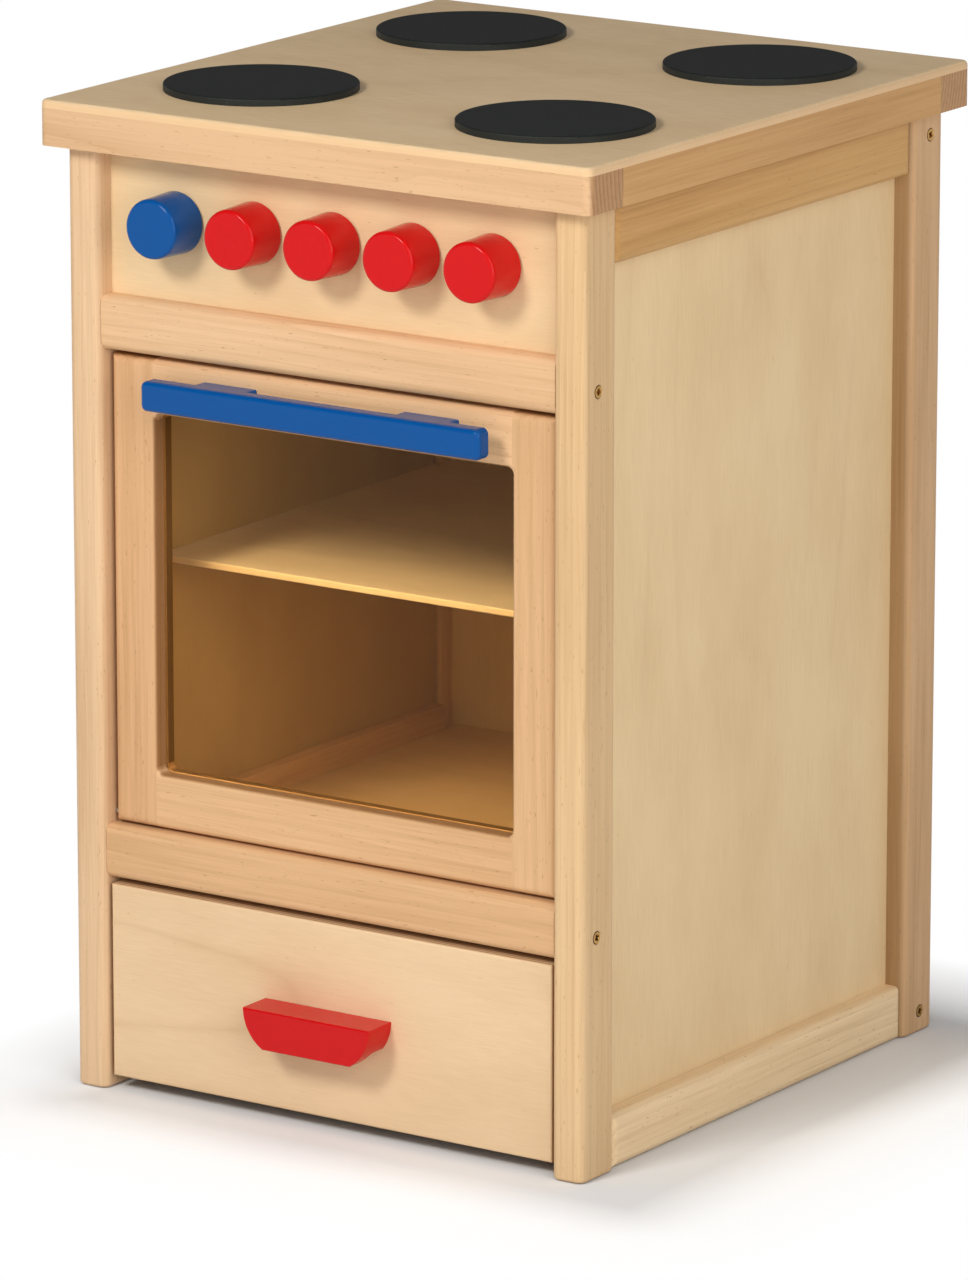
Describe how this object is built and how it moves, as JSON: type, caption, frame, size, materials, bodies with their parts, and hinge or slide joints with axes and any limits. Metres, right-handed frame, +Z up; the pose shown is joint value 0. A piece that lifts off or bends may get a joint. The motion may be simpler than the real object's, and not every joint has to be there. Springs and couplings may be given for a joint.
{
  "type": "toy oven",
  "caption": "Wooden toy cooker cabinet with a drop-down windowed oven door, a pull-out drawer below, turning knobs on a panel and flat round hob plates on top.",
  "frame": {"origin": "on the floor, under the middle of the whole toy with its handles and knobs", "axes": "+X to the right of a child facing the oven, +Y to its back, +Z up"},
  "size_m": [0.3526, 0.3872, 0.554],
  "materials": {
    "solid_wood": "clear matt lacquer",
    "plywood": "clear matt lacquer",
    "black_lacquer": "satin black lacquer",
    "blue_lacquer": "satin blue lacquer",
    "red_lacquer": "satin red lacquer",
    "smoked_acrylic": "clear brown tint",
    "yellow_zinc_steel": "yellow zinc",
    "plain_steel": "plain",
    "catch_plastic": "moulded"
  },
  "bodies": {
    "cabinet": {"post_front_left": "solid_wood", "post_front_right": "solid_wood", "post_rear_left": "solid_wood", "post_rear_right": "solid_wood", "front_middle_rail": "solid_wood", "front_top_rail": "solid_wood", "rear_bottom_rail": "solid_wood", "rear_top_rail": "solid_wood", "side_bottom_rail_left": "solid_wood", "side_bottom_rail_right": "solid_wood", "side_top_rail_left": "solid_wood", "side_top_rail_right": "solid_wood", "floor_battens": "solid_wood", "shelf_battens": "solid_wood", "worktop_front_board": "solid_wood", "worktop_rear_board": "solid_wood", "worktop_side_board_left": "solid_wood", "worktop_side_board_right": "solid_wood", "drawer_runners": "solid_wood", "drawer_stops": "solid_wood", "side_panel_left": "plywood", "side_panel_right": "plywood", "back_panel": "plywood", "control_panel": "plywood", "oven_floor": "plywood", "oven_shelf": "plywood", "worktop_sheet": "plywood", "hob_plate_front_left": "black_lacquer", "hob_plate_front_right": "black_lacquer", "hob_plate_rear_left": "black_lacquer", "hob_plate_rear_right": "black_lacquer", "frame_screws": "yellow_zinc_steel", "hinge_pins": "plain_steel", "magnet_catch": "catch_plastic"},
    "door": {"door_stile_left": "solid_wood", "door_stile_right": "solid_wood", "door_bottom_rail": "solid_wood", "door_top_rail": "solid_wood", "door_pane": "smoked_acrylic", "door_handle": "blue_lacquer", "door_handle_blocks": "blue_lacquer", "door_handle_screws": "yellow_zinc_steel", "strike_plate": "plain_steel"},
    "drawer": {"drawer_front": "plywood", "drawer_side_left": "plywood", "drawer_side_right": "plywood", "drawer_back": "plywood", "drawer_bottom": "plywood", "drawer_handle": "red_lacquer", "drawer_handle_screws": "yellow_zinc_steel"},
    "oven_knob_body": {"oven_knob": "blue_lacquer", "oven_knob_screw": "yellow_zinc_steel"},
    "hob_knob_1_body": {"hob_knob_1": "red_lacquer", "hob_knob_1_screw": "yellow_zinc_steel"},
    "hob_knob_2_body": {"hob_knob_2": "red_lacquer", "hob_knob_2_screw": "yellow_zinc_steel"},
    "hob_knob_3_body": {"hob_knob_3": "red_lacquer", "hob_knob_3_screw": "yellow_zinc_steel"},
    "hob_knob_4_body": {"hob_knob_4": "red_lacquer", "hob_knob_4_screw": "yellow_zinc_steel"}
  },
  "joints": [
    {"name": "door_hinge", "type": "hinge", "parent": "cabinet", "child": "door", "pos_m": [0, -0.1621, 0.1557], "axis": [1, 0, 0], "range_deg": [0, 90]},
    {"name": "drawer_slide", "type": "slide", "parent": "cabinet", "child": "drawer", "axis": [0, -1, 0], "range_m": [0, 0.2]},
    {"name": "oven_knob_turn", "type": "hinge", "parent": "cabinet", "child": "oven_knob_body", "pos_m": [-0.102, -0.1631, 0.4873], "axis": [0, 1, 0], "continuous": true},
    {"name": "hob_knob_1_turn", "type": "hinge", "parent": "cabinet", "child": "hob_knob_1_body", "pos_m": [-0.051, -0.1631, 0.4873], "axis": [0, 1, 0], "continuous": true},
    {"name": "hob_knob_2_turn", "type": "hinge", "parent": "cabinet", "child": "hob_knob_2_body", "pos_m": [0, -0.1631, 0.4873], "axis": [0, 1, 0], "continuous": true},
    {"name": "hob_knob_3_turn", "type": "hinge", "parent": "cabinet", "child": "hob_knob_3_body", "pos_m": [0.051, -0.1631, 0.4873], "axis": [0, 1, 0], "continuous": true},
    {"name": "hob_knob_4_turn", "type": "hinge", "parent": "cabinet", "child": "hob_knob_4_body", "pos_m": [0.102, -0.1631, 0.4873], "axis": [0, 1, 0], "continuous": true}
  ]
}
